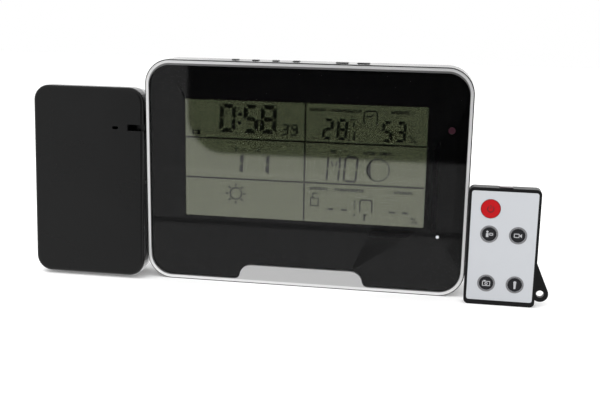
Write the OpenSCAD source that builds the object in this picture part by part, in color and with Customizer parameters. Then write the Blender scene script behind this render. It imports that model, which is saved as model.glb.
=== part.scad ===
// Home weather station: a display console that stands on its own base, a projector arm
// that swivels on its left side, and a card-size remote control that stands in front of
// its lower right corner.  Millimetres, +Z up, the display faces -Y.
// The origin is the centre of the console's flat base.

/* [Console] */
// Width of the console, side to side
console_w = 164; // [140:1:200]
// Height of the console above the table
console_h = 114; // [100:1:140]
// Depth of the console, front to back
console_d = 32; // [28:1:40]
// Corner radius of the console seen from the front
corner_r = 13; // [9:0.5:20]
// Wall of the moulded housings
wall = 2; // [1.5:0.1:2.6]
// Depth of the black front housing behind its rim
front_housing_d = 3.6; // [3.2:0.1:5]
// How far the sides draw in towards the back
back_taper = 6; // [0:0.5:10]
// Depth over which the back edge rounds off
back_round = 3; // [2:0.5:5]

/* [Front frame and window] */
// Black rim of the housing seen outside the silver frame
rim_w = 0.5; // [0.4:0.1:1]
// How far the silver frame stands proud of that rim
frame_proud = 0.4; // [0.2:0.1:1]
// Width of the silver frame at the sides and the bottom
frame_w = 1.5; // [1:0.1:3]
// Width of the silver frame at the top
frame_top_w = 2.3; // [1:0.1:4]
// Thickness of the silver frame
frame_t = 1.9; // [1.6:0.1:2.4]
// Height of the raised middle of the frame's bottom bar
flare_h = 9.7; // [7:0.1:14]
// Half width of that flare's straight top edge
flare_half = 25.9; // [18:0.5:40]
// Sideways offset of the flare from the middle
flare_x = -0.8; // [-4:0.1:4]
// Convex radius at the flare's shoulders
flare_shoulder_r = 6; // [4:0.5:8]
// Concave radius at the flare's feet
flare_foot_r = 3; // [1.5:0.5:5]
// Thickness of the clear window
window_t = 0.9; // [0.7:0.1:1.2]
// Thickness of the black mask behind the window
mask_t = 0.4; // [0.2:0.1:0.6]

/* [Display] */
// Width of the visible display
lcd_view_w = 122.2; // [100:0.2:126]
// Height of the visible display
lcd_view_h = 60.2; // [50:0.2:64]
// Sideways offset of the display
lcd_x = -0.5; // [-2:0.1:2]
// Height of the display's middle above the table
lcd_z = 64.4; // [58:0.2:68]
// Glass left hidden behind the mask, on each side
lcd_edge = 3.2; // [2.5:0.1:4]
// Thickness of the display glass
lcd_t = 2.2; // [1.6:0.1:2.8]
// Thickness of the light guide behind it
backlight_t = 3; // [2:0.1:4]
// Wall of the frame that carries the display
carrier_wall = 2.6; // [2.4:0.1:2.8]
// Thickness of the main circuit board
board_t = 1.6; // [1:0.1:2]

/* [Top keys] */
// Middle of each top key, from the console's middle
top_key_x = [-37.1, -26.7, -16.4, -6, 17, 27.6];
// Width of the narrow top keys
narrow_key_w = 3.2; // [2.4:0.1:5]
// Width of the wide top keys
wide_key_w = 6; // [4:0.1:8]
// Depth of the top keys
top_key_d = 5; // [4:0.5:5.5]
// Middle of the top keys, front to back
top_key_y = -7; // [-7:0.5:-3]
// How far a top key stands out of the housing
top_key_proud = 0.5; // [0.5:0.1:1.4]
// How far a top key travels
top_key_travel = 0.4; // [0.2:0.1:0.4]

/* [Battery bay] */
// Diameter of a battery cell
cell_d = 14.5; // [10.5:0.5:14.5]
// Length of a battery cell
cell_l = 50.5; // [44.5:0.5:50.5]
// Height of the lower cell's axis above the table
cell_z = 40; // [30:1:50]
// Thickness of the battery door
door_t = 1.6; // [1.2:0.1:2]

/* [Projector arm] */
// Width of the arm
arm_w = 59.1; // [45:0.1:70]
// Clearance between the table and the arm's lower end as it swings past
arm_clear = 0.1; // [0.1:0.1:16]
// Reach of the arm above its swivel axis
arm_rise = 19.5; // [16:0.5:28]
// Depth of the arm in front of the swivel axis
arm_front = 12; // [11:0.2:14]
// Depth of the arm behind the swivel axis
arm_back = 9.4; // [9:0.2:14]
// Corner radius of the arm seen from the front
arm_corner_r = 8; // [5:0.5:8]
// Rounding of the arm's front and back edges
arm_edge_r = 1.5; // [1.5:0.5:2.5]
// How much the arm's rear shell draws in towards its back
arm_draft = 1.5; // [0.5:0.1:2]
// Wall of the arm's shells
arm_wall = 1.8; // [1.4:0.1:2.2]
// Forward lean of the arm's lower end at rest, in degrees
arm_lean = 3; // [0:0.1:6]
// Gap between the arm and the console
arm_gap = 0.6; // [0.6:0.1:2]
// Swivel axis behind the console's front plane
hinge_depth = 10; // [9:0.5:14]
// Height of the swivel axis above the table
hinge_z = 79.2; // [79:0.2:88]
// Radius of the swivel shaft
shaft_r = 3.5; // [3:0.1:4]
// Radius of the projector's lens barrel
barrel_r = 9; // [7:0.5:9.5]
// Distance of the projector below the swivel axis
projector_drop = 55; // [40:1:60]

/* [Remote control] */
// Width of the remote
remote_w = 34; // [32:0.5:44]
// Height of the remote
remote_h = 58.4; // [57:0.5:70]
// Thickness of the remote
remote_t = 6.6; // [6.6:0.1:9]
// Corner radius of the remote
remote_r = 2.5; // [1.5:0.5:4]
// Left side of the remote, from the console's middle
remote_x = 81.9; // [40:0.5:110]
// Gap between the remote's back and the console's front
remote_gap = 1.7; // [1:0.1:20]
// Radius of the red key
power_key_r = 4.5; // [3.5:0.1:5]
// Radius of the dark keys
key_r = 3.2; // [2.6:0.1:4]
// Outer radius of the grey ring round a dark key
key_ring_r = 4.3; // [3.8:0.1:5]
// Travel of the remote's keys
remote_key_travel = 0.5; // [0.2:0.1:0.5]
// Radius of the lanyard hole
lanyard_hole_r = 1.8; // [1.2:0.1:2]
// Radius of the lanyard lug
lug_r = 4; // [3.6:0.1:5]

/* [Hidden] */
$fn = 64;
fit = 0.15;           // gap round trim and fixed inserts
run = 0.05;           // radial gap of a running fit
slide_gap = 0.25;     // gap round a key or a sliding piece
eps = 0.01;
cut = 1;              // how far a cutter runs past a face

// Planes from front to back
y_front = -console_d / 2;
y_back = console_d / 2;
y_rim = y_front + frame_proud;
y_seat = y_front + frame_t;
y_split = y_rim + front_housing_d;
y_mask = y_seat - mask_t;
y_window = y_mask - window_t;
y_glass_back = y_seat + lcd_t;
y_board = y_glass_back + backlight_t;
y_board_back = y_board + board_t;
z_mid = console_h / 2;

// Silver frame and its opening
frame_ow = console_w - 2 * rim_w;
frame_oh = console_h - 2 * rim_w;
open_w = frame_ow - 2 * frame_w;
open_z0 = rim_w + frame_w;
open_z1 = console_h - rim_w - frame_top_w;
open_h = open_z1 - open_z0;
open_zm = (open_z0 + open_z1) / 2;
open_r = corner_r - rim_w - frame_w;

// Small windows in the mask
sensor_x = console_w / 2 - 9.9;
sensor_z = lcd_z + 19.2;
sensor_r = 1.8;
led_x = console_w / 2 - 14.3;
led_z = lcd_z - 34.3;
led_r = 1;

// Display stack
glass_w = lcd_view_w + 2 * lcd_edge;
glass_h = lcd_view_h + 2 * lcd_edge;
guide_h = lcd_view_h + 0.6;
carrier_w = glass_w + 2 * (carrier_wall + fit);
carrier_h = glass_h + 2 * (carrier_wall + fit);
zebra_h = (glass_h - guide_h) / 2 - 2 * fit;
flange_w = console_w - 14;
flange_h = carrier_h + 9;

// Main board, and the screws that hold it to the display's carrier
board_x0 = lcd_x - carrier_w / 2;
board_x1 = console_w / 2 - 6;
board_z0 = lcd_z - carrier_h / 2 - 12;
board_z1 = lcd_z + carrier_h / 2 - 3;
board_screw_x = glass_w / 2 + fit + carrier_wall / 2;
board_screw_z = glass_h / 2 - 4;
small_screw_r = 0.9;

// Housing screws
post_x = console_w / 2 - 9;
post_z0 = 12;
post_z1 = console_h - 12;
post_r = 3;
post_y = y_split + 8;
screw_r = 1.4;
screw_head_r = 2.9;
screw_head_y = post_y + 7;

// Swivel
hinge_y = y_front + hinge_depth;
side_x = -console_w / 2;
arm_x1 = side_x - arm_gap;
arm_x0 = arm_x1 - arm_w;
// reach of the arm below its axis: its lower front edge clears the table as it swings
arm_drop = sqrt(pow(hinge_z - arm_clear - arm_edge_r, 2) - pow(arm_front - arm_edge_r, 2)) + arm_edge_r;
bush_r = shaft_r + 1.2;
bush_flange_r = bush_r + 1.2;
bush_x1 = side_x + wall + 2.5;
clip_x = bush_x1 + 0.9;
shaft_x0 = arm_x1 - 20;
shaft_x1 = clip_x + 1.6;
shaft_bore_r = 1.6;
arm_split = -shaft_r - 1;

// Arm screws, places from the swivel axis
arm_posts = [[arm_x0 + 6, arm_rise - 7], [arm_x0 + 6, 8 - arm_drop], [arm_x1 - 6, 8 - arm_drop]];

// Projector
proj_x = (arm_x0 + arm_x1) / 2;
proj_z = -projector_drop;
ring_r = barrel_r + 2.5;
ring_y = arm_back + 0.4;
ring_d = 4;
lens_r = barrel_r - 1.5;
arm_board_y = -arm_front + arm_wall + 0.6;

// Battery bay
cell_r = cell_d / 2;
cell_pitch = cell_d + 1;
bay_w = cell_l + 5.5;
bay_h = cell_pitch + cell_d + 1.5;
bay_zm = cell_z + cell_pitch / 2;
bay_wall = 1.5;
cell_y = y_back - door_t - cell_r - 0.6;
bay_y = cell_y - cell_r - 0.6;
door_w = bay_w + 4;
door_h = bay_h + 4;

// Top keys
key_wall_z = console_h - wall;
key_top_z = console_h + top_key_proud;
key_flange_t = 0.9;
key_flange = 0.6;
key_board_z = console_h - 9;
key_board_t = 1.2;
key_board_half = 4.5;
switch_h = key_wall_z - 0.1 - key_flange_t - top_key_travel - 0.15 - key_board_z;
key_board_x0 = top_key_x[0] - 7;
key_board_x1 = top_key_x[5] + 8;

// DC inlet and other details on the back and the right side
dc_x = console_w / 2 - 27;
dc_z = 20;
dc_r = 2.75;
dc_depth = 9.5;
vent_n = 5;
vent_pitch = 3;
vent_z = 26;

// Remote, from its lower left front corner
remote_y1 = y_front - remote_gap;
remote_y0 = remote_y1 - remote_t;
label_t = 0.3;
r_front_y = remote_y0 + label_t;
r_wall = 1.1;
r_split = remote_y0 + remote_t * 0.45;
label_side = 1.3;
label_bottom = 2.5;
label_top = 1.6;
col_a = 10.5;
col_b = remote_w - 9.9;
row_bottom = 11.1;
row_mid = remote_h - 22.7;
row_top = remote_h - 10.2;
remote_keys = [[col_a, row_mid], [col_b, row_mid], [col_a, row_bottom], [col_b, row_bottom]];
power_key_at = [col_a, row_top];
dome_y = r_front_y + r_wall + 1.05;
r_board_t = 0.8;
r_board_y = dome_y + 0.3;
coin_r = 10;
coin_t = 1.6;
coin_y = r_board_y + r_board_t + 0.15;
coin_z = remote_h - 22.4;
tray_w = coin_r * 2 + 3;
tray_h = coin_r * 2 + 2;
tray_t = coin_t;
lug_x = remote_w + 2.6;
lug_z = 6.2;
lug_t = 2.6;
lug_top_z = 23.4;
emitter_x = 17.3;
emitter_w = 6.6;

// ---------------------------------------------------------------- shared shapes

// Rounded rectangle about the origin
module rrect(w, h, r) {
    translate([r - w / 2, -h / 2]) square([w - 2 * r, h]);
    translate([-w / 2, r - h / 2]) square([w, h - 2 * r]);
    for (sx = [-1, 1], sz = [-1, 1])
        translate([sx * (w / 2 - r), sz * (h / 2 - r)]) circle(r);
}

// Upright slab with rounded corners, from plane ya to plane yb
module slab(w, h, r, ya, yb, x = 0, z = z_mid) {
    translate([x, yb, z]) rotate([90, 0, 0]) linear_extrude(yb - ya) rrect(w, h, r);
}

// The same, from its lower and upper edges
module slab_z(w, z0, z1, r, ya, yb, x = 0) {
    slab(w, z1 - z0, r, ya, yb, x, (z0 + z1) / 2);
}

// Plain box between two corners
module box(a, b) {
    translate(a) cube(b - a);
}

// Rod along Y from ya to yb
module rod_y(r, ya, yb, x, z) {
    translate([x, ya, z]) rotate([-90, 0, 0]) cylinder(r = r, h = yb - ya);
}

// Rod along X from xa to xb
module rod_x(r, xa, xb, y, z) {
    translate([xa, y, z]) rotate([0, 90, 0]) cylinder(r = r, h = xb - xa);
}

// Screw along Y: head at yh facing +Y, shaft down to ytip, with a cross recess
module screw_y(x, z, r, head_r, yh, ytip) {
    head_t = head_r * 0.6;
    difference() {
        union() {
            rod_y(r, ytip, yh + eps, x, z);
            rod_y(head_r, yh, yh + head_t, x, z);
        }
        for (a = [0, 90])
            translate([x, yh + head_t, z]) rotate([0, a, 0])
                cube([head_r * 1.2, head_t * 0.9, head_r * 0.25], center = true);
    }
}

// Points of an arc
function arc(cx, cz, r, a0, a1, n = 8) =
    [for (i = [0:n]) let (a = a0 + (a1 - a0) * i / n) [cx + r * cos(a), cz + r * sin(a)]];

// Slab whose front edges, at ya, are rounded by e, and drawn in by t from those at yb
module soft_slab(w, h, r, ya, yb, e, x = 0, z = 0, t = 0) {
    ring = 0.2;
    hull() {
        for (a = [0:30:90]) let (in = t + e * (1 - sin(a)))
            slab(w - 2 * in, h - 2 * in, r - 0.9 * in,
                 ya + e * (1 - cos(a)), ya + e * (1 - cos(a)) + ring, x, z, $fn = 32);
        slab(w, h, r, yb - ring, yb, x, z, $fn = 32);
    }
}

// ---------------------------------------------------------------- console shell

// Half of the flare's outline, from the middle of its top to its right foot
function flare_half_points(g) =
    let (big = flare_shoulder_r + g, small = flare_foot_r - g,
         c1z = flare_h - flare_shoulder_r, c2z = open_z0 + flare_foot_r,
         dx = sqrt(pow(flare_shoulder_r + flare_foot_r, 2) - pow(c2z - c1z, 2)),
         t = atan2(c2z - c1z, dx))
    concat(arc(flare_half, c1z, big, 90, t), arc(flare_half + dx, c2z, small, 180 + t, 270));

// Raised middle of the frame's bottom bar, grown outwards by g
module flare(g, ya, yb) {
    right = flare_half_points(g);
    n = len(right);
    left = [for (i = [n - 1:-1:0]) [-right[i][0], right[i][1]]];
    foot = right[n - 1][0];
    base = rim_w + frame_w / 2 - g;
    translate([flare_x, yb, 0]) rotate([90, 0, 0]) linear_extrude(yb - ya)
        polygon(concat(right, [[foot, base], [-foot, base]], left));
}

// Outline that fills the frame's opening
module window_plate(ya, yb) {
    difference() {
        slab(open_w - 2 * fit, open_h - 2 * fit, open_r - fit, ya, yb, 0, open_zm);
        flare(fit, ya - cut, yb + cut);
    }
}

// Silver frame, with the flare that rises from its bottom bar
module front_frame() {
    color("silver") {
        difference() {
            slab(frame_ow, frame_oh, corner_r - rim_w, y_front, y_seat);
            slab(open_w, open_h, open_r, y_front - cut, y_seat + cut, 0, open_zm);
        }
        flare(0, y_front, y_seat);
    }
}

module front_window() {
    color([0.2, 0.2, 0.22, 0.3]) window_plate(y_window, y_mask);
}

module window_mask() {
    color([0.05, 0.05, 0.05]) difference() {
        window_plate(y_mask, y_seat);
        slab(lcd_view_w, lcd_view_h, 0.5, y_mask - cut, y_seat + cut, lcd_x, lcd_z);
        rod_y(sensor_r, y_mask - cut, y_seat + cut, sensor_x, sensor_z);
        rod_y(led_r, y_mask - cut, y_seat + cut, led_x, led_z);
    }
}

// Places of the four housing screws, x and z
module at_posts() {
    for (sx = [-1, 1], z = [post_z0, post_z1])
        translate([sx * post_x, 0, z]) children();
}

// Black front housing: rim, seat for the frame and window, flange and screw posts
module front_housing() {
    color([0.12, 0.12, 0.12]) difference() {
        union() {
            slab(console_w, console_h, corner_r, y_rim, y_split);
            at_posts() rod_y(post_r, y_split - eps, post_y, 0, 0);
        }
        slab(frame_ow + 2 * fit, frame_oh + 2 * fit, corner_r - rim_w + fit,
             y_rim - cut, y_seat);
        slab(flange_w, flange_h, 4, y_seat - cut, y_split + cut, 0, lcd_z);
        at_posts() rod_y(screw_r, y_split - 1, post_y + cut, 0, 0);
    }
}

// Solid form of the rear housing, or of its inside when g is the wall
module rear_form(g) {
    back = y_back - g;
    hull() {
        slab_z(console_w - 2 * g, g, console_h - g, corner_r - g,
               y_split - (g > 0 ? cut : 0), y_split + 12, $fn = 32);
        slab_z(console_w - back_taper - 2 * g, g, console_h - back_taper / 3 - g, corner_r - g,
               back - back_round - eps, back - back_round, $fn = 32);
        slab_z(console_w - back_taper - 2 * back_round - 2 * g, g + back_round,
               console_h - back_taper / 3 - back_round - g, corner_r - g - 1,
               back - eps, back, $fn = 32);
    }
}

// Battery tub, open to the back
module battery_tub() {
    difference() {
        slab(bay_w + 2 * bay_wall, bay_h + 2 * bay_wall, 2, bay_y - bay_wall, y_back - 1, 0, bay_zm);
        slab(bay_w, bay_h, 1, bay_y, y_back + cut, 0, bay_zm);
    }
}

function top_key_w(i) = i < 4 ? narrow_key_w : wide_key_w;

// Body of top key i, grown by g at its sides, from z0 to z1
module top_key_block(i, g, z0, z1) {
    w = top_key_w(i) + 2 * g;
    d = top_key_d + 2 * g;
    r = min(1.2, w / 2 - 0.3);
    translate([top_key_x[i], top_key_y, z0]) linear_extrude(z1 - z0) rrect(w, d, r);
}

module rear_housing() {
    color([0.14, 0.14, 0.14]) difference() {
        union() {
            difference() {
                rear_form(0);
                rear_form(wall);
                slab(door_w + 2 * slide_gap, door_h + 2 * slide_gap, 3 + slide_gap,
                     y_back - wall - cut, y_back + cut, 0, bay_zm);
            }
            // ledge that the battery door seats on
            difference() {
                slab(door_w + 4, door_h + 4, 4, y_back - door_t - 1.4, y_back - door_t - 0.05, 0, bay_zm);
                slab(bay_w, bay_h, 1, y_back - 6, y_back + cut, 0, bay_zm);
            }
            battery_tub();
            // screw towers
            at_posts() rod_y(post_r + 1.6, post_y + eps, y_back - wall + 0.5, 0, 0);
            // hangers for the key board
            for (x = [key_board_x0, key_board_x1 - 4])
                box([x, top_key_y - key_board_half, key_board_z + key_board_t],
                    [x + 4, top_key_y + key_board_half, key_wall_z + 0.5]);
        }
        // clear the tub and the ledge from the door's seat
        slab(door_w + 2 * slide_gap, door_h + 2 * slide_gap, 3 + slide_gap,
             y_back - door_t - 0.05, y_back + cut, 0, bay_zm);
        at_posts() {
            rod_y(screw_r + 0.2, post_y - cut, y_back + cut, 0, 0);
            rod_y(screw_head_r + 0.3, screw_head_y, y_back + cut, 0, 0);
        }
        for (i = [0:5]) top_key_block(i, slide_gap, key_wall_z - cut, console_h + cut);
        rod_x(bush_r, side_x - cut, side_x + wall + cut, hinge_y, hinge_z);
        rod_y(dc_r + 1.5, y_back - wall - cut, y_back + cut, dc_x, dc_z);
        // humidity vents in the right side, sound holes in the back
        for (i = [0:vent_n - 1])
            box([console_w / 2 - wall - cut, y_split + 4, vent_z + i * vent_pitch],
                [console_w / 2 + cut, y_split + 11, vent_z + i * vent_pitch + 1.4]);
        for (a = [0:60:300])
            rod_y(0.9, y_back - wall - cut, y_back + cut, 4 * cos(a) - dc_x, 4 * sin(a) + dc_z);
        rod_y(0.9, y_back - wall - cut, y_back + cut, -dc_x, dc_z);
        // recesses for the foot pads
        foot_pad_set(fit);
    }
}

// Non-slip pads let into the base, level with it
module foot_pad_set(g) {
    for (x = [-1, 1])
        translate([x * (console_w / 2 - 30), 0, 0])
            translate([0, (y_split + y_back - back_round) / 2, -g]) linear_extrude(0.9 + g)
                rrect(24 + 2 * g, 8 + 2 * g, 3 + g);
}

module foot_pads() {
    color([0.08, 0.08, 0.08]) foot_pad_set(0);
}

module housing_screws() {
    color([0.55, 0.56, 0.58]) at_posts() screw_y(0, 0, screw_r - 0.02, screw_head_r, screw_head_y, y_split);
}

// ---------------------------------------------------------------- display and electronics

module light_sensor() {
    color([0.15, 0.1, 0.12]) {
        rod_y(sensor_r - fit, y_mask + 0.1, y_board - 1, sensor_x, sensor_z);
        box([sensor_x - 2.2, y_board - 1 - eps, sensor_z - 2.2], [sensor_x + 2.2, y_board, sensor_z + 2.2]);
    }
}

module indicator_led() {
    color([0.85, 0.88, 0.9]) {
        rod_y(led_r - 0.2, y_mask + 0.1, y_board - 1, led_x, led_z);
        box([led_x - 0.75, y_board - 1 - eps, led_z - 1.6], [led_x + 0.75, y_board, led_z + 1.6]);
    }
}

module lcd_glass() {
    color([0.45, 0.47, 0.38])
        slab(glass_w, glass_h, 0.6, y_seat, y_glass_back, lcd_x, lcd_z);
}

module lcd_backlight() {
    color([0.92, 0.93, 0.9])
        slab(glass_w, guide_h, 0.6, y_glass_back, y_board, lcd_x, lcd_z);
}

// Frame round the display, screwed to the main board
module lcd_carrier() {
    color([0.85, 0.85, 0.83]) difference() {
        slab(carrier_w, carrier_h, 2, y_seat, y_board, lcd_x, lcd_z);
        slab(glass_w + 2 * fit, glass_h + 2 * fit, 0.6 + fit, y_seat - cut, y_board + cut, lcd_x, lcd_z);
        for (sx = [-1, 1], sz = [-1, 1])
            rod_y(small_screw_r, y_board - 4, y_board + cut,
                  lcd_x + sx * board_screw_x, lcd_z + sz * board_screw_z);
    }
}

module zebra_strips() {
    color([0.9, 0.55, 0.65]) for (s = [-1, 1])
        slab(glass_w - 12, zebra_h, 0.3, y_glass_back, y_board, lcd_x,
             lcd_z + s * (glass_h / 2 - zebra_h / 2 - fit));
}

module main_board() {
    color([0.1, 0.35, 0.2]) difference() {
        slab_z(board_x1 - board_x0, board_z0, board_z1, 1, y_board, y_board_back,
               (board_x0 + board_x1) / 2);
        for (sx = [-1, 1], sz = [-1, 1])
            rod_y(small_screw_r + 0.2, y_board - cut, y_board_back + cut,
                  lcd_x + sx * board_screw_x, lcd_z + sz * board_screw_z);
        for (sx = [-1, 1], z = [post_z0, post_z1])
            rod_y(post_r + 0.8, y_board - cut, y_board_back + cut, sx * post_x, z);
    }
}

module board_chips() {
    color([0.07, 0.07, 0.08]) {
        for (p = [[-45, 78, 12, 12], [-20, 84, 8, 6], [50, 48, 10, 10]])
            box([p[0], y_board_back, p[1]], [p[0] + p[2], y_board_back + 1.2, p[1] + p[3]]);
        for (i = [0:4])
            box([-48 + i * 6, y_board_back, 72], [-45.5 + i * 6, y_board_back + 0.8, 73.4]);
    }
}

module board_screws() {
    color([0.6, 0.6, 0.62]) for (sx = [-1, 1], sz = [-1, 1])
        screw_y(lcd_x + sx * board_screw_x, lcd_z + sz * board_screw_z, small_screw_r - 0.02, 1.7,
                y_board_back, y_board - 3.5);
}

module radio_module() {
    color([0.1, 0.2, 0.45]) {
        box([44, y_board_back, 74], [66, y_board_back + 1, 92]);
        box([47, y_board_back + 1 - eps, 78], [55, y_board_back + 2.4, 86]);
    }
}

// Ferrite rod with its winding, for the radio clock signal
module ferrite_antenna() {
    z = wall + 5.5;
    color([0.2, 0.2, 0.2]) difference() {
        rod_x(4, -60, -5, y_split + 12, z);
        rod_x(3, -45, -25, y_split + 12, z);
    }
    color([0.7, 0.4, 0.15]) rod_x(3, -45, -25, y_split + 12, z);
}

module buzzer() {
    z = dc_z;
    color([0.1, 0.1, 0.1]) difference() {
        rod_y(7.5, y_back - wall - 5, y_back - wall, -dc_x, z);
        rod_y(1.2, y_back - wall - 2, y_back - wall + cut, -dc_x, z);
    }
}

module humidity_sensor() {
    color([0.93, 0.93, 0.9])
        box([console_w / 2 - wall - 3, y_split + 4.5, vent_z + 1],
            [console_w / 2 - wall - 0.2, y_split + 10.5, vent_z + 11]);
}

// Inlet for a mains adapter's round plug
module dc_jack() {
    color([0.1, 0.1, 0.1]) difference() {
        union() {
            box([dc_x - 4.5, y_back - 12, dc_z - 5.5], [dc_x + 4.5, y_back - wall, dc_z + 5.5]);
            rod_y(dc_r + 1.4, y_back - wall - eps, y_back - 0.3, dc_x, dc_z);
        }
        rod_y(dc_r, y_back - 0.3 - dc_depth, y_back + cut, dc_x, dc_z);
    }
}

module key_board() {
    color([0.1, 0.35, 0.2])
        box([key_board_x0, top_key_y - key_board_half, key_board_z],
            [key_board_x1, top_key_y + key_board_half, key_board_z + key_board_t]);
}

module key_switches() {
    z0 = key_board_z + key_board_t;
    color([0.15, 0.15, 0.16]) for (i = [0:5]) {
        translate([top_key_x[i] - 1.5, top_key_y - 2, z0]) cube([3, 4, switch_h - key_board_t - 0.5]);
        translate([top_key_x[i], top_key_y, z0 + switch_h - key_board_t - 0.5 - eps])
            cylinder(r = 0.9, h = 0.5);
    }
}

// Key i of the row on top: cap, and a flange under the wall
module top_key(i) {
    color([0.16, 0.16, 0.17]) {
        top_key_block(i, 0, key_wall_z - 0.1 - key_flange_t + eps, key_top_z);
        top_key_block(i, key_flange, key_wall_z - 0.1 - key_flange_t, key_wall_z - 0.1);
    }
}

module top_key_1() { top_key(0); }
module top_key_2() { top_key(1); }
module top_key_3() { top_key(2); }
module top_key_4() { top_key(3); }
module top_key_5() { top_key(4); }
module top_key_6() { top_key(5); }

// ---------------------------------------------------------------- batteries

// Positive end of cell i points left or right in turn
module battery_cells() {
    nub = 1.2;
    color([0.3, 0.5, 0.35]) for (i = [0, 1]) {
        s = i == 0 ? 1 : -1;
        translate([s * 1.4, cell_y, cell_z + i * cell_pitch]) rotate([0, s * 90, 0]) {
            translate([0, 0, -cell_l / 2]) cylinder(r = cell_r, h = cell_l - nub);
            translate([0, 0, cell_l / 2 - nub - eps]) cylinder(r = 2.7, h = nub + eps);
        }
    }
}

// Turns of each spring behind a cell's flat end
module battery_springs() {
    wire = 0.35;
    room = (bay_w - cell_l) / 2 + 1.4 - 0.6;
    color([0.75, 0.76, 0.78]) for (i = [0, 1]) {
        s = i == 0 ? -1 : 1;
        for (k = [0:3])
            translate([s * (bay_w / 2 - 0.6 - wire - k * (room - 2 * wire) / 3), cell_y, cell_z + i * cell_pitch])
                rotate([0, 90, 0]) rotate_extrude($fn = 32)
                    translate([4.6 - 0.7 * k, 0]) circle(wire, $fn = 16);
    }
}

// Contact plates on the two end walls of the bay
module battery_contacts() {
    color([0.75, 0.76, 0.78]) {
        for (s = [-1, 1], i = [0, 1])
            box([s * (bay_w / 2 - 0.3) - 0.25, cell_y - 5, cell_z + i * cell_pitch - 5],
                [s * (bay_w / 2 - 0.3) + 0.25, cell_y + 5, cell_z + i * cell_pitch + 5]);
    }
}

// Door over the battery bay, level with the back, with a finger recess
module battery_door() {
    color([0.14, 0.14, 0.14]) difference() {
        slab(door_w, door_h, 3, y_back - door_t, y_back, 0, bay_zm);
        slab(16, 5, 2.4, y_back - 0.7, y_back + cut, 0, bay_zm + door_h / 2 - 6);
        for (k = [-1, 0, 1])
            slab(16, 0.8, 0.3, y_back - 0.4, y_back + cut, 0, bay_zm - door_h / 2 + 8 + k * 2);
    }
}

// ---------------------------------------------------------------- swivel

module hinge_bushing() {
    color([0.8, 0.65, 0.3]) difference() {
        union() {
            rod_x(bush_r, side_x + 0.2, bush_x1, hinge_y, hinge_z);
            rod_x(bush_flange_r, side_x + wall, side_x + wall + 1.2, hinge_y, hinge_z);
        }
        rod_x(shaft_r + run, side_x - cut, bush_x1 + cut, hinge_y, hinge_z);
    }
}

// Puts arm pieces, drawn about the swivel axis, in their place at rest
module at_arm() {
    translate([0, hinge_y, hinge_z]) rotate([-arm_lean, 0, 0]) children();
}

module hinge_washer() {
    color([0.3, 0.3, 0.32]) at_arm() difference() {
        rod_x(shaft_r + 3, arm_x1, side_x - 0.15, 0, 0);
        rod_x(shaft_r, arm_x1 - cut, side_x + cut, 0, 0);
    }
}

// Hollow shaft, fixed in the arm; the wires run through it
module arm_shaft() {
    color([0.72, 0.73, 0.75]) at_arm() difference() {
        rod_x(shaft_r, shaft_x0, shaft_x1, 0, 0);
        rod_x(shaft_bore_r, shaft_x0 - cut, shaft_x1 + cut, 0, 0);
        difference() {
            rod_x(shaft_r + cut, clip_x, clip_x + 0.8, 0, 0);
            rod_x(shaft_r - 0.6, clip_x - cut, clip_x + 0.8 + cut, 0, 0);
        }
    }
}

// Spring clip in the shaft's groove, inside the console
module shaft_clip() {
    color([0.5, 0.5, 0.52]) at_arm() difference() {
        rod_x(shaft_r + 2.2, clip_x + 0.05, clip_x + 0.75, 0, 0);
        rod_x(shaft_r - 0.6, clip_x - cut, clip_x + cut, 0, 0);
        box([clip_x - cut, -1.6, -shaft_r - 4], [clip_x + cut, 1.6, 0]);
    }
}

// ---------------------------------------------------------------- projector arm

arm_zm = (arm_rise - arm_drop) / 2;
arm_h = arm_rise + arm_drop;
arm_xm = (arm_x0 + arm_x1) / 2;

// Front shell, with the shaft's slot at its inner edge and a pin hole beside it
module arm_front_shell() {
    slot_w = 8.5;
    slot_h = 3.2;
    slot_z = -0.9;
    color([0.16, 0.16, 0.16]) at_arm() difference() {
        union() {
            difference() {
                soft_slab(arm_w, arm_h, arm_corner_r, -arm_front, arm_split, arm_edge_r, arm_xm, arm_zm);
                slab(arm_w - 2 * arm_wall, arm_h - 2 * arm_wall, arm_corner_r - arm_wall,
                     arm_wall - arm_front, arm_split + cut, arm_xm, arm_zm);
            }
            for (p = arm_posts) rod_y(3, arm_wall - arm_front - 0.5, arm_split, p[0], p[1]);
        }
        for (p = arm_posts) rod_y(1.1, arm_wall - arm_front, arm_split + cut, p[0], p[1]);
        box([arm_x1 - slot_w, -arm_front - cut, slot_z - slot_h / 2],
            [arm_x1 + cut, -arm_front + 2.6, slot_z + slot_h / 2]);
        slab(3.2, 1.5, 0.7, -arm_front - cut, arm_wall - arm_front + cut, arm_x1 - 15, slot_z - 0.3);
    }
}

// Rear shell: carries the shaft's boss and the projector's barrel
module arm_rear_shell() {
    rear_in = arm_wall + arm_draft;
    color([0.15, 0.15, 0.15]) at_arm() difference() {
        union() {
            difference() {
                mirror([0, 1, 0])
                    soft_slab(arm_w, arm_h, arm_corner_r, -arm_back, -arm_split, arm_edge_r, arm_xm, arm_zm,
                              arm_draft);
                slab(arm_w - 2 * rear_in, arm_h - 2 * rear_in, arm_corner_r - rear_in,
                     arm_split - cut, arm_back - arm_wall, arm_xm, arm_zm);
            }
            box([shaft_x0, arm_split, -shaft_r - 2.5], [arm_x1 - rear_in + eps, arm_back - 1, shaft_r + 2.5]);
            for (p = arm_posts) rod_y(3.6, arm_split, arm_back - 1, p[0], p[1]);
        }
        rod_x(shaft_r, shaft_x0 - cut, arm_x1 + cut, 0, 0);
        for (p = arm_posts) {
            rod_y(1.4, arm_split - cut, arm_back + cut, p[0], p[1]);
            rod_y(2.6, arm_split + 5, arm_back + cut, p[0], p[1]);
        }
        rod_y(barrel_r, arm_back - arm_wall - cut, arm_back + cut, proj_x, proj_z);
    }
}

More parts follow.
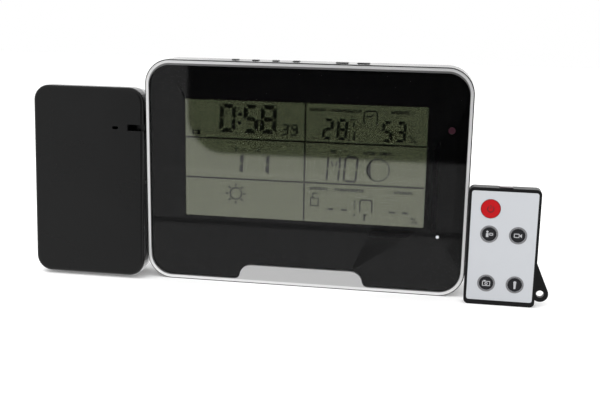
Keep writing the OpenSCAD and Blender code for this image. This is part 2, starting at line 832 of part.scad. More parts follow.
module arm_screws() {
    color([0.55, 0.56, 0.58]) at_arm() for (p = arm_posts)
        screw_y(p[0], p[1], 1.08, 2.3, arm_split + 5, arm_split - 5.5);
}

module arm_board() {
    color([0.1, 0.35, 0.2]) at_arm()
        slab(arm_w - 18, 40, 1, arm_board_y, arm_board_y + 1.2, proj_x, proj_z + 8);
}

module projector_led() {
    color([0.95, 0.95, 0.8]) at_arm() {
        slab(5, 5, 0.6, arm_board_y + 1.2, arm_board_y + 2.2, proj_x, proj_z);
        intersection() {
            translate([proj_x, arm_board_y + 2.2 - eps, proj_z]) sphere(1.9);
            rod_y(1.9, arm_board_y + 2.2 - eps, arm_board_y + 5, proj_x, proj_z);
        }
    }
}

// Small display that the projector throws on the wall
module projector_slide() {
    color([0.3, 0.35, 0.4]) at_arm()
        slab(12, 12, 0.5, arm_split - 0.4, arm_split + 0.4, proj_x, proj_z);
}

module projector_barrel() {
    color([0.1, 0.1, 0.1]) at_arm() difference() {
        union() {
            rod_y(barrel_r, arm_split + 0.4, ring_y + ring_d - 0.6, proj_x, proj_z);
            rod_y(barrel_r + 1.5, arm_back - arm_wall - 1.2, arm_back - arm_wall, proj_x, proj_z);
        }
        rod_y(lens_r, arm_split + 1.6, ring_y + ring_d + cut, proj_x, proj_z);
        rod_y(4, arm_split, arm_split + 2, proj_x, proj_z);
    }
}

// Biconvex lens
module projector_lens() {
    half_t = 2;
    shoulder = 0.6 * lens_r;
    color([0.8, 0.88, 0.92, 0.5]) at_arm()
        translate([proj_x, ring_y + 0.4, proj_z]) rotate([90, 0, 0]) rotate_extrude()
            polygon([[0, -half_t], [shoulder, 0.3 - half_t], [lens_r, 1.1 - half_t],
                     [lens_r, half_t - 1.1], [shoulder, half_t - 0.3], [0, half_t]]);
}

// Ribbed ring that focuses the projector
module focus_ring() {
    ribs = 24;
    color([0.12, 0.12, 0.12]) at_arm() difference() {
        rod_y(ring_r, ring_y, ring_y + ring_d, proj_x, proj_z);
        rod_y(barrel_r + run, ring_y - cut, ring_y + ring_d + cut, proj_x, proj_z);
        for (i = [0:ribs - 1])
            translate([proj_x, 0, proj_z]) rotate([0, i * 360 / ribs, 0])
                rod_y(0.5, ring_y + 0.8, ring_y + ring_d + cut, ring_r + 0.15, 0, $fn = 16);
    }
}

// ---------------------------------------------------------------- remote control

// Moves remote pieces, drawn from its lower left corner, to their place
module at_remote() {
    translate([remote_x, 0, 0]) children();
}

module remote_slab(g, ya, yb) {
    slab_z(remote_w - 2 * g, g, remote_h - g, remote_r - min(g, remote_r - 0.4), ya, yb, remote_w / 2);
}

// Holes for all the keys, grown by g
module remote_key_holes(g, ya, yb) {
    rod_y(power_key_r + g, ya, yb, power_key_at[0], power_key_at[1]);
    for (k = remote_keys) rod_y(key_r + g, ya, yb, k[0], k[1]);
}

module remote_front_shell() {
    color([0.18, 0.18, 0.19]) at_remote() difference() {
        remote_slab(0, r_front_y, r_split);
        remote_slab(r_wall, r_front_y + r_wall, r_split + cut);
        remote_key_holes(slide_gap, r_front_y - cut, r_split);
        emitter_cut(0);
    }
}

// Room for the infrared emitter in the top edge
module emitter_cut(g) {
    box([emitter_x - emitter_w / 2 - g, r_split - 1.6 - g, remote_h - r_wall - cut],
        [emitter_x + emitter_w / 2 + g, r_split + 1.6 + g, remote_h + cut]);
}

// Back shell, with the lanyard lug at its lower right
module remote_back_shell() {
    color([0.12, 0.12, 0.13]) at_remote() difference() {
        union() {
            difference() {
                remote_slab(0, r_split, remote_y1);
                remote_slab(r_wall, r_split - cut, remote_y1 - r_wall);
            }
            remote_lug();
            for (z = [5, remote_h - 5]) rod_y(2, r_split, remote_y1 - 0.5, remote_w - 5, z);
        }
        for (z = [5, remote_h - 5]) {
            rod_y(0.9, r_split - cut, remote_y1 + cut, remote_w - 5, z);
            rod_y(1.7, remote_y1 - 0.9, remote_y1 + cut, remote_w - 5, z);
        }
        emitter_cut(0);
        rod_y(lanyard_hole_r, remote_y0 - cut, remote_y1 + cut, lug_x, lug_z);
        // mouth of the cell tray in the right side
        box([remote_w - r_wall - cut, coin_y - 0.1, coin_z - tray_h / 2 - slide_gap],
            [remote_w + cut, coin_y + tray_t + 0.1, coin_z + tray_h / 2 + slide_gap]);
    }
}

// Lug outline: a fin that grows out of the side into a round eye
module remote_lug() {
    mid = (r_split + remote_y1) / 2;
    fin = [[remote_w - 0.5, lug_top_z], [remote_w - 0.5, lug_z - 3], [lug_x, lug_z], [lug_x + lug_r * 0.93, lug_z + 1.4]];
    rod_y(lug_r, mid - lug_t / 2, mid + lug_t / 2, lug_x, lug_z);
    translate([0, mid + lug_t / 2, 0]) rotate([90, 0, 0]) linear_extrude(lug_t) polygon(fin);
}

// White faceplate, with holes for the keys and their rings
module remote_label() {
    color("white") at_remote() difference() {
        slab_z(remote_w - 2 * label_side, label_bottom, remote_h - label_top, 1.2, remote_y0, r_front_y,
               remote_w / 2);
        rod_y(power_key_r + slide_gap, remote_y0 - cut, r_front_y + cut, power_key_at[0], power_key_at[1]);
        for (k = remote_keys) rod_y(key_r + slide_gap, remote_y0 - cut, r_front_y + cut, k[0], k[1]);
    }
}

// A round key: cap through the faceplate, and a flange behind the shell
module remote_round_key(r, at) {
    at_remote() {
        rod_y(r, remote_y0 - 0.2, dome_y - remote_key_travel - 0.1, at[0], at[1]);
        rod_y(r + 0.6, r_front_y + r_wall + 0.05, dome_y - remote_key_travel - 0.1, at[0], at[1]);
    }
}

module remote_power_key() { color("crimson") remote_round_key(power_key_r, power_key_at); }
module remote_key_1() { color([0.2, 0.2, 0.21]) remote_round_key(key_r, remote_keys[0]); }
module remote_key_2() { color([0.2, 0.2, 0.21]) remote_round_key(key_r, remote_keys[1]); }
module remote_key_3() { color([0.2, 0.2, 0.21]) remote_round_key(key_r, remote_keys[2]); }
module remote_key_4() { color([0.2, 0.2, 0.21]) remote_round_key(key_r, remote_keys[3]); }

// Sheet of metal domes under the keys
module remote_dome_mat() {
    color([0.8, 0.8, 0.78]) at_remote()
        remote_slab(r_wall + 0.6, dome_y, r_board_y);
}

module remote_board() {
    color([0.1, 0.35, 0.2]) at_remote() difference() {
        remote_slab(r_wall + 0.3, r_board_y, r_board_y + r_board_t);
        for (z = [5, remote_h - 5]) rod_y(2.2, r_board_y - cut, r_board_y + 2, remote_w - 5, z);
    }
}

// Infrared emitter, showing as a low bump on the top edge
module remote_emitter() {
    color([0.2, 0.1, 0.14]) at_remote()
        box([emitter_x - emitter_w / 2 + fit, r_split - 1.6 + fit, remote_h - r_wall],
            [emitter_x + emitter_w / 2 - fit, r_split + 1.6 - fit, remote_h + 0.4]);
}

module remote_coin_cell() {
    color([0.8, 0.81, 0.83]) at_remote()
        rod_y(coin_r, coin_y, coin_y + coin_t, remote_w - tray_w / 2 - 0.5, coin_z);
}

// Tray that slides out of the right side with the cell
module remote_cell_tray() {
    x1 = remote_w - 0.2;
    color([0.13, 0.13, 0.14]) at_remote() difference() {
        box([x1 - tray_w - 0.5, coin_y, coin_z - tray_h / 2], [x1, coin_y + tray_t, coin_z + tray_h / 2]);
        rod_y(coin_r + 0.1, coin_y - cut, coin_y + tray_t + cut, remote_w - tray_w / 2 - 0.5, coin_z);
    }
}

module remote_screws() {
    color([0.55, 0.56, 0.58]) at_remote() for (z = [5, remote_h - 5])
        screw_y(remote_w - 5, z, 0.88, 1.5, remote_y1 - 0.9, r_split + 0.1);
}

front_housing();
rear_housing();
front_frame();
front_window();
window_mask();
light_sensor();
indicator_led();
lcd_glass();
lcd_backlight();
lcd_carrier();
zebra_strips();
main_board();
board_chips();
board_screws();
radio_module();
ferrite_antenna();
buzzer();
humidity_sensor();
dc_jack();
key_board();
key_switches();
top_key_1();
top_key_2();
top_key_3();
top_key_4();
top_key_5();
top_key_6();
battery_cells();
battery_springs();
battery_contacts();
battery_door();
housing_screws();
foot_pads();
hinge_bushing();
hinge_washer();
arm_shaft();
shaft_clip();
arm_front_shell();
arm_rear_shell();
arm_board();
arm_screws();
projector_led();
projector_slide();
projector_barrel();
projector_lens();
focus_ring();
remote_front_shell();
remote_back_shell();
remote_label();
remote_power_key();
remote_key_1();
remote_key_2();
remote_key_3();
remote_key_4();
remote_dome_mat();
remote_board();
remote_emitter();
remote_coin_cell();
remote_cell_tray();
remote_screws();
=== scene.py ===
"""Looks for the home weather station: console, projector arm and card remote."""
import math

import bmesh
import bpy
from mathutils import Matrix, Vector


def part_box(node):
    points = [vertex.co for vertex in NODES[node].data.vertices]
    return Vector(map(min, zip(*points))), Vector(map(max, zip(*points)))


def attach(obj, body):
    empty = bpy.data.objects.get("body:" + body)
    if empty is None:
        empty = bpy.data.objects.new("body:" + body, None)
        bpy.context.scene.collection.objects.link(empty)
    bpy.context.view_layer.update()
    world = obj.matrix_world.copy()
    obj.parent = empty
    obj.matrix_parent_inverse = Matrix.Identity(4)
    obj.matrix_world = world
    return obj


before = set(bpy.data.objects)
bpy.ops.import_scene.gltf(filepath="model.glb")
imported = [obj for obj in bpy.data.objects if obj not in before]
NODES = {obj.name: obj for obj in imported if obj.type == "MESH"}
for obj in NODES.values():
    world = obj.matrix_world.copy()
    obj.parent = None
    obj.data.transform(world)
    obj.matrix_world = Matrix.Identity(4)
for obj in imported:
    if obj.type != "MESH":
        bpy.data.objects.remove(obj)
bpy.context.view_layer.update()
MM = 0.001
SCENE = bpy.context.scene


# ---------------------------------------------------------------- camera, stage, light

CONSOLE_LO, CONSOLE_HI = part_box("front_frame")
FRONT_Y = CONSOLE_LO.y                     # plane of the silver frame's face
CAMERA_OFFSET = Vector((0.07357, -0.44987, 0.14706))   # from the middle of that face's foot
CAMERA_YAW = math.radians(-9.48)
CAMERA_PITCH = math.radians(12.54)
CAMERA_ROLL = math.radians(1.01)
CAMERA_LENS = 55.65


def make_camera():
    forward = Vector((
        math.sin(CAMERA_YAW) * math.cos(CAMERA_PITCH),
        math.cos(CAMERA_YAW) * math.cos(CAMERA_PITCH),
        -math.sin(CAMERA_PITCH),
    ))
    level = Vector((math.cos(CAMERA_YAW), -math.sin(CAMERA_YAW), 0))
    upward = level.cross(forward)
    right = level * math.cos(CAMERA_ROLL) + upward * math.sin(CAMERA_ROLL)
    up = upward * math.cos(CAMERA_ROLL) - level * math.sin(CAMERA_ROLL)
    data = bpy.data.cameras.new("camera")
    data.lens = CAMERA_LENS
    data.sensor_width = 36
    data.clip_start = 0.01
    camera = bpy.data.objects.new("camera", data)
    SCENE.collection.objects.link(camera)
    turn = Matrix((right, up, -forward)).transposed().to_4x4()
    camera.matrix_world = Matrix.Translation(Vector((0, FRONT_Y, 0)) + CAMERA_OFFSET) @ turn
    SCENE.camera = camera


def make_floor():
    half = 1.6
    mesh = bpy.data.meshes.new("floor")
    corners = [(-half, -half, 0), (half, -half, 0), (half, half, 0), (-half, half, 0)]
    mesh.from_pydata(corners, [], [(0, 1, 2, 3)])
    floor = bpy.data.objects.new("floor", mesh)
    SCENE.collection.objects.link(floor)
    floor.visible_glossy = False
    material = bpy.data.materials.new("floor_paper")
    material.use_nodes = True
    shader = material.node_tree.nodes["Principled BSDF"]
    shader.inputs["Base Color"].default_value = (0.93, 0.93, 0.93, 1)
    shader.inputs["Roughness"].default_value = 0.9
    shader.inputs["Specular IOR Level"].default_value = 0.1
    shader.inputs["Emission Color"].default_value = (1, 1, 1, 1)
    shader.inputs["Emission Strength"].default_value = 0.16
    mesh.materials.append(material)


def make_area(name, place, aim, size, power):
    data = bpy.data.lights.new(name, "AREA")
    data.shape = "RECTANGLE"
    data.size, data.size_y = size
    data.energy = power
    light = bpy.data.objects.new(name, data)
    SCENE.collection.objects.link(light)
    light.location = place
    light.rotation_euler = (Vector(aim) - Vector(place)).to_track_quat("-Z", "Y").to_euler()
    light.visible_glossy = False


class Graph:
    """Short names for building a node tree."""

    def __init__(self, tree):
        self.tree = tree

    def node(self, kind, **settings):
        made = self.tree.nodes.new(kind)
        for key, value in settings.items():
            setattr(made, key, value)
        return made

    def link(self, source, target):
        self.tree.links.new(source, target)

    def feed(self, socket, value):
        if isinstance(value, bpy.types.NodeSocket):
            self.link(value, socket)
        else:
            socket.default_value = value

    def math(self, operation, *values):
        made = self.node("ShaderNodeMath", operation=operation)
        for socket, value in zip(made.inputs, values):
            self.feed(socket, value)
        return made.outputs[0]

    def ramp(self, value, low, high, low_out=0.0, high_out=1.0):
        made = self.node("ShaderNodeMapRange", interpolation_type="SMOOTHSTEP")
        for socket, given in zip(made.inputs, (value, low, high, low_out, high_out)):
            self.feed(socket, given)
        return made.outputs[0]


# Left, right, lower and upper edge of the doorway and its corner radius, and the heights of the
# table seam and the pale line below it, all as slopes seen from the display
DOORWAY = (-0.2968, 0.45, -0.1775, 0.35, 0.042)
SEAM_RISE = -0.2565
LINE_RISE = -0.198
BEHIND_GAIN = 1.7                          # how much brighter the studio is behind the object


def make_world():
    """White to the camera; to everything else a pale studio with one dark doorway in front."""
    world = bpy.data.worlds.new("studio")
    SCENE.world = world
    world.use_nodes = True
    graph = Graph(world.node_tree)
    world.node_tree.nodes.clear()
    direction = graph.node("ShaderNodeTexCoord").outputs["Generated"]
    parts = graph.node("ShaderNodeSeparateXYZ")
    graph.link(direction, parts.inputs[0])
    ahead = graph.math("MAXIMUM", graph.math("MULTIPLY", parts.outputs["Y"], -1.0), 0.001)
    side = graph.math("DIVIDE", parts.outputs["X"], ahead)
    rise = graph.math("DIVIDE", parts.outputs["Z"], ahead)

    # rounded rectangle in the plane one unit in front of the display
    left, right, low, high, radius = DOORWAY
    qx = graph.math("SUBTRACT", graph.math("ABSOLUTE", graph.math("SUBTRACT", side, (left + right) / 2)),
                    (right - left) / 2 - radius)
    qz = graph.math("SUBTRACT", graph.math("ABSOLUTE", graph.math("SUBTRACT", rise, (low + high) / 2)),
                    (high - low) / 2 - radius)
    ox = graph.math("MAXIMUM", qx, 0.0)
    oz = graph.math("MAXIMUM", qz, 0.0)
    square = graph.math("ADD", graph.math("MULTIPLY", ox, ox), graph.math("MULTIPLY", oz, oz))
    reach = graph.math("SQRT", square)
    edge = graph.math("SUBTRACT", reach, radius)
    in_front = graph.math("LESS_THAN", parts.outputs["Y"], -0.3)
    door = graph.math("MULTIPLY", graph.ramp(edge, -0.003, 0.002, 1.0, 0.0), in_front)

    # table edge seen below the doorway: a thin dark seam, and a pale line above it
    seam_rise = graph.math("ADD", SEAM_RISE, graph.ramp(side, -0.40, -0.33, 0.004, 0.0))
    seam_gap = graph.math("ABSOLUTE", graph.math("SUBTRACT", rise, seam_rise))
    seam = graph.math("MULTIPLY", graph.ramp(seam_gap, 0.0015, 0.005, 0.55, 0.0), in_front)
    line_gap = graph.math("ABSOLUTE", graph.math("SUBTRACT", rise, LINE_RISE))
    line = graph.math("MULTIPLY", graph.ramp(line_gap, 0.001, 0.004, 0.18, 0.0), in_front)

    bright = graph.math("MULTIPLY", graph.math("ADD", 1.0, line), graph.math("SUBTRACT", 1.0, seam))
    level = graph.math("MULTIPLY", bright, graph.ramp(rise, -0.33, -0.16, 1.08, 0.94))
    unshaded = graph.math("SUBTRACT", 1.0, graph.math("MULTIPLY", door, 0.985))
    level = graph.math("MULTIPLY", level, unshaded)
    level = graph.math("MULTIPLY", level, graph.ramp(parts.outputs["Y"], 0.3, 0.8, 1.0, BEHIND_GAIN))
    studio = graph.node("ShaderNodeBackground")
    graph.feed(studio.inputs["Color"], (1.0, 1.0, 1.0, 1.0))
    graph.feed(studio.inputs["Strength"], level)
    paper = graph.node("ShaderNodeBackground")
    paper.inputs["Color"].default_value = (1.0, 1.0, 1.0, 1.0)
    paper.inputs["Strength"].default_value = 1.0
    chosen = graph.node("ShaderNodeMixShader")
    graph.link(graph.node("ShaderNodeLightPath").outputs["Is Camera Ray"], chosen.inputs[0])
    graph.link(studio.outputs[0], chosen.inputs[1])
    graph.link(paper.outputs[0], chosen.inputs[2])
    graph.link(chosen.outputs[0], graph.node("ShaderNodeOutputWorld").inputs["Surface"])


def make_lights():
    make_area("key_light", (-0.35, -0.25, 0.9), (0, 0, 0.03), (0.9, 0.7), 5.0)
    make_area("fill_light", (0.6, -0.7, 0.6), (0.05, 0, 0.05), (0.7, 0.7), 1.2)


# ---------------------------------------------------------------- materials

def plain_material(name, colour, roughness, metallic=0.0, **sockets):
    material = bpy.data.materials.new(name)
    material.use_nodes = True
    shader = material.node_tree.nodes["Principled BSDF"]
    shader.inputs["Base Color"].default_value = (*colour, 1)
    shader.inputs["Roughness"].default_value = roughness
    shader.inputs["Metallic"].default_value = metallic
    for key, value in sockets.items():
        shader.inputs[key.replace("_", " ")].default_value = value
    return material, Graph(material.node_tree), shader


def textured(name, colour, roughness, grain, height, metallic=0.0, mottle=0.06, rough_spread=0.05,
             **sockets):
    """Moulded or painted surface: fine grain in the bump, slow change in colour and roughness."""
    material, graph, shader = plain_material(name, colour, roughness, metallic, **sockets)
    place = graph.node("ShaderNodeTexCoord").outputs["Object"]
    fine = graph.node("ShaderNodeTexNoise")
    fine.inputs["Scale"].default_value = grain
    fine.inputs["Detail"].default_value = 3
    graph.link(place, fine.inputs["Vector"])
    broad = graph.node("ShaderNodeTexNoise")
    broad.inputs["Scale"].default_value = 35
    broad.inputs["Detail"].default_value = 4
    graph.link(place, broad.inputs["Vector"])
    bump = graph.node("ShaderNodeBump")
    bump.inputs["Strength"].default_value = 1.0
    bump.inputs["Distance"].default_value = height
    graph.link(fine.outputs[0], bump.inputs["Height"])
    graph.link(bump.outputs[0], shader.inputs["Normal"])
    tint = graph.node("ShaderNodeMix", data_type="RGBA")
    graph.link(broad.outputs[0], tint.inputs[0])
    tint.inputs[6].default_value = (*[c * (1 - mottle) for c in colour], 1)
    tint.inputs[7].default_value = (*[min(1, c * (1 + mottle)) for c in colour], 1)
    graph.link(tint.outputs[2], shader.inputs["Base Color"])
    graph.link(graph.ramp(broad.outputs[0], 0.3, 0.7, roughness - rough_spread, roughness + rough_spread),
               shader.inputs["Roughness"])
    return material


def display_material():
    """Liquid crystal: olive with a very fine grain and a strong mirror gloss."""
    material, graph, shader = plain_material("lcd_olive", (0.040, 0.046, 0.026), 0.025)
    shader.inputs["IOR"].default_value = 2.12
    shader.inputs["Specular Tint"].default_value = (0.98, 1.0, 0.87, 1)
    place = graph.node("ShaderNodeTexCoord").outputs["Object"]
    noise = graph.node("ShaderNodeTexNoise")
    noise.inputs["Scale"].default_value = 3000
    graph.link(place, noise.inputs["Vector"])
    tint = graph.node("ShaderNodeMix", data_type="RGBA")
    graph.link(noise.outputs[0], tint.inputs[0])
    tint.inputs[6].default_value = (0.037, 0.043, 0.023, 1)
    tint.inputs[7].default_value = (0.043, 0.050, 0.028, 1)
    graph.link(tint.outputs[2], shader.inputs["Base Color"])
    return material


FRAME_CORNER_R = 12.5 * MM                 # outer corner of the silver frame


def frame_material():
    """Silver paint, bright outside its inner lip; the inner lip carries a painted dark reflection, strong in
    the upper part and weaker along the foot.
    """
    material, graph, shader = plain_material("silver_paint_lip_reflection", (0.6, 0.6, 0.6), 0.3, 0.75)
    lo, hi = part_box("front_frame")
    radius = FRAME_CORNER_R
    place = graph.node("ShaderNodeSeparateXYZ")
    graph.link(graph.node("ShaderNodeTexCoord").outputs["Object"], place.inputs[0])
    reach = []
    for axis, low, high in (("X", lo.x, hi.x), ("Z", lo.z, hi.z)):
        offset = graph.math("ABSOLUTE", graph.math("SUBTRACT", place.outputs[axis], (low + high) / 2))
        reach.append(graph.math("SUBTRACT", offset, (high - low) / 2 - radius))
    square = [graph.math("POWER", graph.math("MAXIMUM", q, 0.0), 2.0) for q in reach]
    round_part = graph.math("SQRT", graph.math("ADD", *square))
    flat_part = graph.math("MINIMUM", graph.math("MAXIMUM", *reach), 0.0)
    depth = graph.math("SUBTRACT", radius, graph.math("ADD", round_part, flat_part))
    # painted dark reflection on the inner lip: the tone drops everywhere more than about 1.5 mm in from the
    # frame's outer edge
    lip_reflection_mask = graph.ramp(depth, 1.15 * MM, 1.5 * MM)
    upper = graph.ramp(place.outputs["Z"], 13 * MM, 17 * MM)
    # the painted dark reflection takes 0.66 off the tone in the upper part of the frame and 0.32 along its
    # foot
    dark = graph.math("MULTIPLY", graph.math("MULTIPLY", lip_reflection_mask, upper), 0.66)
    foot = graph.math("MULTIPLY", graph.math("MULTIPLY", lip_reflection_mask, graph.math("SUBTRACT", 1.0, upper)), 0.32)
    grain = graph.node("ShaderNodeTexNoise")
    grain.inputs["Scale"].default_value = 5000
    tone = graph.math("SUBTRACT", graph.math("SUBTRACT", 0.84, dark), foot)
    speckle = graph.math("MULTIPLY", graph.math("SUBTRACT", grain.outputs[0], 0.5), 0.04)
    tone = graph.math("ADD", tone, speckle)
    colour = graph.node("ShaderNodeCombineColor")
    for socket in colour.inputs[:3]:
        graph.link(tone, socket)
    graph.link(colour.outputs[0], shader.inputs["Base Color"])
    return material


def make_materials():
    m = {}
    m["silver"] = frame_material()
    m["black_housing"] = textured("black_housing", (0.006, 0.006, 0.0063), 0.24, 2600, 0.000003,
                                  Specular_IOR_Level=0.35)
    m["arm"] = textured("arm_satin", (0.0045, 0.0046, 0.0046), 0.24, 3200, 0.000002,
                        Specular_IOR_Level=0.24)
    m["gloss"] = textured("gloss_mask", (0.0022, 0.0022, 0.0023), 0.02, 60, 0.0, mottle=0.1,
                          rough_spread=0.004, Specular_IOR_Level=0.24)
    m["window"] = textured("window_clear", (0.002, 0.002, 0.002), 0.05, 60, 0.0, mottle=0.02,
                           rough_spread=0.01, Alpha=0.02)
    m["display"] = display_material()
    m["segment"] = textured("lcd_segment", (0.0025, 0.0030, 0.0014), 0.04, 4000, 0.0, mottle=0.2,
                            rough_spread=0.01, IOR=1.72)
    m["divider"] = textured("lcd_divider", (0.0025, 0.003, 0.0015), 0.04, 4000, 0.0, mottle=0.2,
                            rough_spread=0.01, IOR=1.7)
    m["remote"] = textured("remote_shell", (0.005, 0.005, 0.0055), 0.42, 3200, 0.000003,
                           Specular_IOR_Level=0.16)
    m["label"] = textured("remote_faceplate", (0.50, 0.515, 0.54), 0.38, 5000, 0.000002, mottle=0.015)
    m["red"] = textured("red_rubber", (0.42, 0.003, 0.006), 0.45, 5000, 0.000006, mottle=0.05,
                        Specular_IOR_Level=0.15)
    m["key"] = textured("dark_rubber", (0.009, 0.009, 0.011), 0.5, 5000, 0.000006,
                        Specular_IOR_Level=0.25)
    m["ring"] = textured("ring_print", (0.17, 0.17, 0.18), 0.4, 5000, 0.0)
    m["icon"] = textured("icon_print", (0.46, 0.46, 0.48), 0.4, 5000, 0.0)
    m["red_icon"] = textured("red_icon_print", (0.09, 0.003, 0.006), 0.4, 5000, 0.0)
    m["board"] = textured("circuit_board", (0.02, 0.13, 0.05), 0.35, 1500, 0.00002, mottle=0.2)
    m["blue_board"] = textured("blue_board", (0.02, 0.06, 0.2), 0.35, 1500, 0.00002, mottle=0.2)
    m["chip"] = textured("chip_epoxy", (0.02, 0.02, 0.021), 0.6, 4000, 0.00001)
    m["white_plastic"] = textured("white_plastic", (0.74, 0.74, 0.72), 0.45, 2600, 0.00001, mottle=0.03)
    m["guide"] = textured("light_guide", (0.85, 0.87, 0.83), 0.3, 900, 0.0, mottle=0.02)
    m["steel"] = textured("zinc_steel", (0.55, 0.56, 0.58), 0.32, 4000, 0.000004,
                          metallic=1.0, mottle=0.08)
    m["nickel"] = textured("nickel_steel", (0.66, 0.66, 0.64), 0.2, 4000, 0.000002,
                           metallic=1.0, mottle=0.05)
    m["brass"] = textured("bearing_brass", (0.62, 0.43, 0.16), 0.35, 4000, 0.000004,
                          metallic=1.0, mottle=0.08)
    m["ferrite"] = textured("ferrite_rod", (0.05, 0.045, 0.043), 0.6, 3000, 0.00002)
    m["elastomer"] = textured("zebra_rubber", (0.6, 0.3, 0.38), 0.6, 3000, 0.00001)
    m["sensor"] = textured("sensor_plastic", (0.03, 0.008, 0.014), 0.12, 900, 0.0)
    m["led"] = textured("led_clear", (0.75, 0.77, 0.8), 0.1, 900, 0.0, mottle=0.03)
    m["sleeve"] = textured("cell_sleeve", (0.06, 0.17, 0.09), 0.3, 1200, 0.000003)
    m["rubber"] = textured("pad_rubber", (0.015, 0.015, 0.015), 0.7, 3500, 0.00002)
    m["lens"] = textured("lens_glass", (0.55, 0.62, 0.68), 0.03, 900, 0.0, mottle=0.02,
                         rough_spread=0.005, Coat_Weight=1.0, Coat_Roughness=0.02)
    return m


MATERIAL_OF = {
    "front_housing": "black_housing", "rear_housing": "black_housing", "front_frame": "silver",
    "front_window": "window", "window_mask": "gloss", "light_sensor": "sensor", "indicator_led": "led",
    "lcd_glass": "display", "lcd_backlight": "guide", "lcd_carrier": "white_plastic",
    "zebra_strips": "elastomer", "main_board": "board", "board_chips": "chip", "board_screws": "steel",
    "radio_module": "blue_board", "ferrite_antenna": "ferrite", "buzzer": "chip",
    "humidity_sensor": "white_plastic", "dc_jack": "chip", "key_board": "board", "key_switches": "chip",
    "battery_cells": "sleeve", "battery_springs": "nickel", "battery_contacts": "nickel",
    "battery_door": "black_housing", "housing_screws": "steel", "foot_pads": "rubber",
    "hinge_bushing": "brass", "hinge_washer": "arm", "arm_shaft": "steel", "shaft_clip": "nickel",
    "arm_front_shell": "arm", "arm_rear_shell": "arm", "arm_board": "board", "arm_screws": "steel",
    "projector_led": "led", "projector_slide": "display", "projector_barrel": "chip",
    "projector_lens": "lens", "focus_ring": "arm", "remote_front_shell": "remote",
    "remote_back_shell": "remote", "remote_label": "label", "remote_power_key": "red",
    "remote_dome_mat": "nickel", "remote_board": "board", "remote_emitter": "sensor",
    "remote_coin_cell": "nickel", "remote_cell_tray": "remote", "remote_screws": "steel",
}
MATERIAL_OF.update({f"top_key_{i}": "black_housing" for i in range(1, 7)})
MATERIAL_OF.update({f"remote_key_{i}": "key" for i in range(1, 5)})


def dress_nodes(materials):
    for name, key in MATERIAL_OF.items():
        data = NODES[name].data
        data.materials.clear()
        data.materials.append(materials[key])


# Radius of the small edge rounding on each visible moulding
EDGE_OF = {
    "front_frame": 0.25, "front_housing": 0.1, "rear_housing": 0.5, "battery_door": 0.25,
    "arm_front_shell": 0.4, "arm_rear_shell": 0.4, "focus_ring": 0.15, "remote_front_shell": 0.4,
    "remote_back_shell": 0.4, "remote_label": 0.08, "remote_power_key": 0.25,
}
EDGE_OF.update({f"top_key_{i}": 0.35 for i in range(1, 7)})
EDGE_OF.update({f"remote_key_{i}": 0.2 for i in range(1, 5)})


def round_edges():
    for name, radius in EDGE_OF.items():
        bevel = NODES[name].modifiers.new("edge", "BEVEL")
        bevel.width = radius * MM
        bevel.segments = 3
        bevel.limit_method = "ANGLE"
        bevel.angle_limit = math.radians(40)
        bevel.harden_normals = True


# ---------------------------------------------------------------- flat graphics

def arc_points(cx, cz, radius, start, stop, steps=16):
    return [(cx + radius * math.cos(math.radians(start + (stop - start) * i / steps)),
             cz + radius * math.sin(math.radians(start + (stop - start) * i / steps)))
            for i in range(steps + 1)]


def band(points, width, closed=False):
    """Polygons of a line of the given width through the points."""
    shapes = []
    pairs = list(zip(points, points[1:] + points[:1])) if closed else list(zip(points, points[1:]))
    for (ax, az), (bx, bz) in pairs:
        dx, dz = bx - ax, bz - az
        length = math.hypot(dx, dz)
        ux, uz = dx / length * width / 2, dz / length * width / 2
        shapes.append([(ax - uz - ux * 0.3, az + ux - uz * 0.3), (ax + uz - ux * 0.3, az - ux - uz * 0.3),
                       (bx + uz + ux * 0.3, bz - ux + uz * 0.3), (bx - uz + ux * 0.3, bz + ux + uz * 0.3)])
    return shapes


def ring(cx, cz, inner, outer, steps=40):
    """Quads of a flat ring."""
    inside = arc_points(cx, cz, inner, 0, 360, steps)
    outside = arc_points(cx, cz, outer, 0, 360, steps)
    return [[inside[i], outside[i], outside[i + 1], inside[i + 1]] for i in range(steps)]


def disc(cx, cz, radius, steps=24):
    return [arc_points(cx, cz, radius, 0, 360, steps)[:-1]]


def rectangle(x, z, w, h):
    return [(x, z), (x + w, z), (x + w, z + h), (x, z + h)]


FILM = 0.03 * MM                           # thickness of everything printed


def prism_piece(name, shapes, y_front, thickness, material, body):
    """Thin closed prisms on an upright plane: shapes are polygons of (x, z) in metres."""
    vertices, faces = [], []
    for shape in shapes:
        area = sum(a[0] * b[1] - b[0] * a[1] for a, b in zip(shape, shape[1:] + shape[:1]))
        outline = shape if area > 0 else shape[::-1]
        n, first = len(outline), len(vertices)
        vertices += [(x, y_front, z) for x, z in outline]
        vertices += [(x, y_front + thickness, z) for x, z in outline]
        faces.append(tuple(range(first, first + n)))
        faces.append(tuple(range(first + 2 * n - 1, first + n - 1, -1)))
        faces += [(first + (i + 1) % n, first + i, first + n + i, first + n + (i + 1) % n) for i in range(n)]
    mesh = bpy.data.meshes.new(name)
    mesh.from_pydata(vertices, [], faces)
    mesh.materials.append(material)
    piece = bpy.data.objects.new(name, mesh)
    SCENE.collection.objects.link(piece)
    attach(piece, body)


# ---------------------------------------------------------------- display graphics

LCD_EDGE = 3.2 * MM                        # glass hidden behind the mask on each side
GLASS_LO, GLASS_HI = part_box("lcd_glass")
VIEW_X = GLASS_LO.x + LCD_EDGE             # lower left corner of the visible display
VIEW_Z = GLASS_LO.z + LCD_EDGE
VIEW_W = GLASS_HI.x - GLASS_LO.x - 2 * LCD_EDGE
VIEW_H = GLASS_HI.z - GLASS_LO.z - 2 * LCD_EDGE
SLANT = math.tan(math.radians(3.0))
SEGMENTS = {"0": "abcdef", "1": "bc", "2": "abged", "3": "abgcd", "5": "afgcd", "8": "abcdefg",
            "9": "abcdfg", "-": "g"}


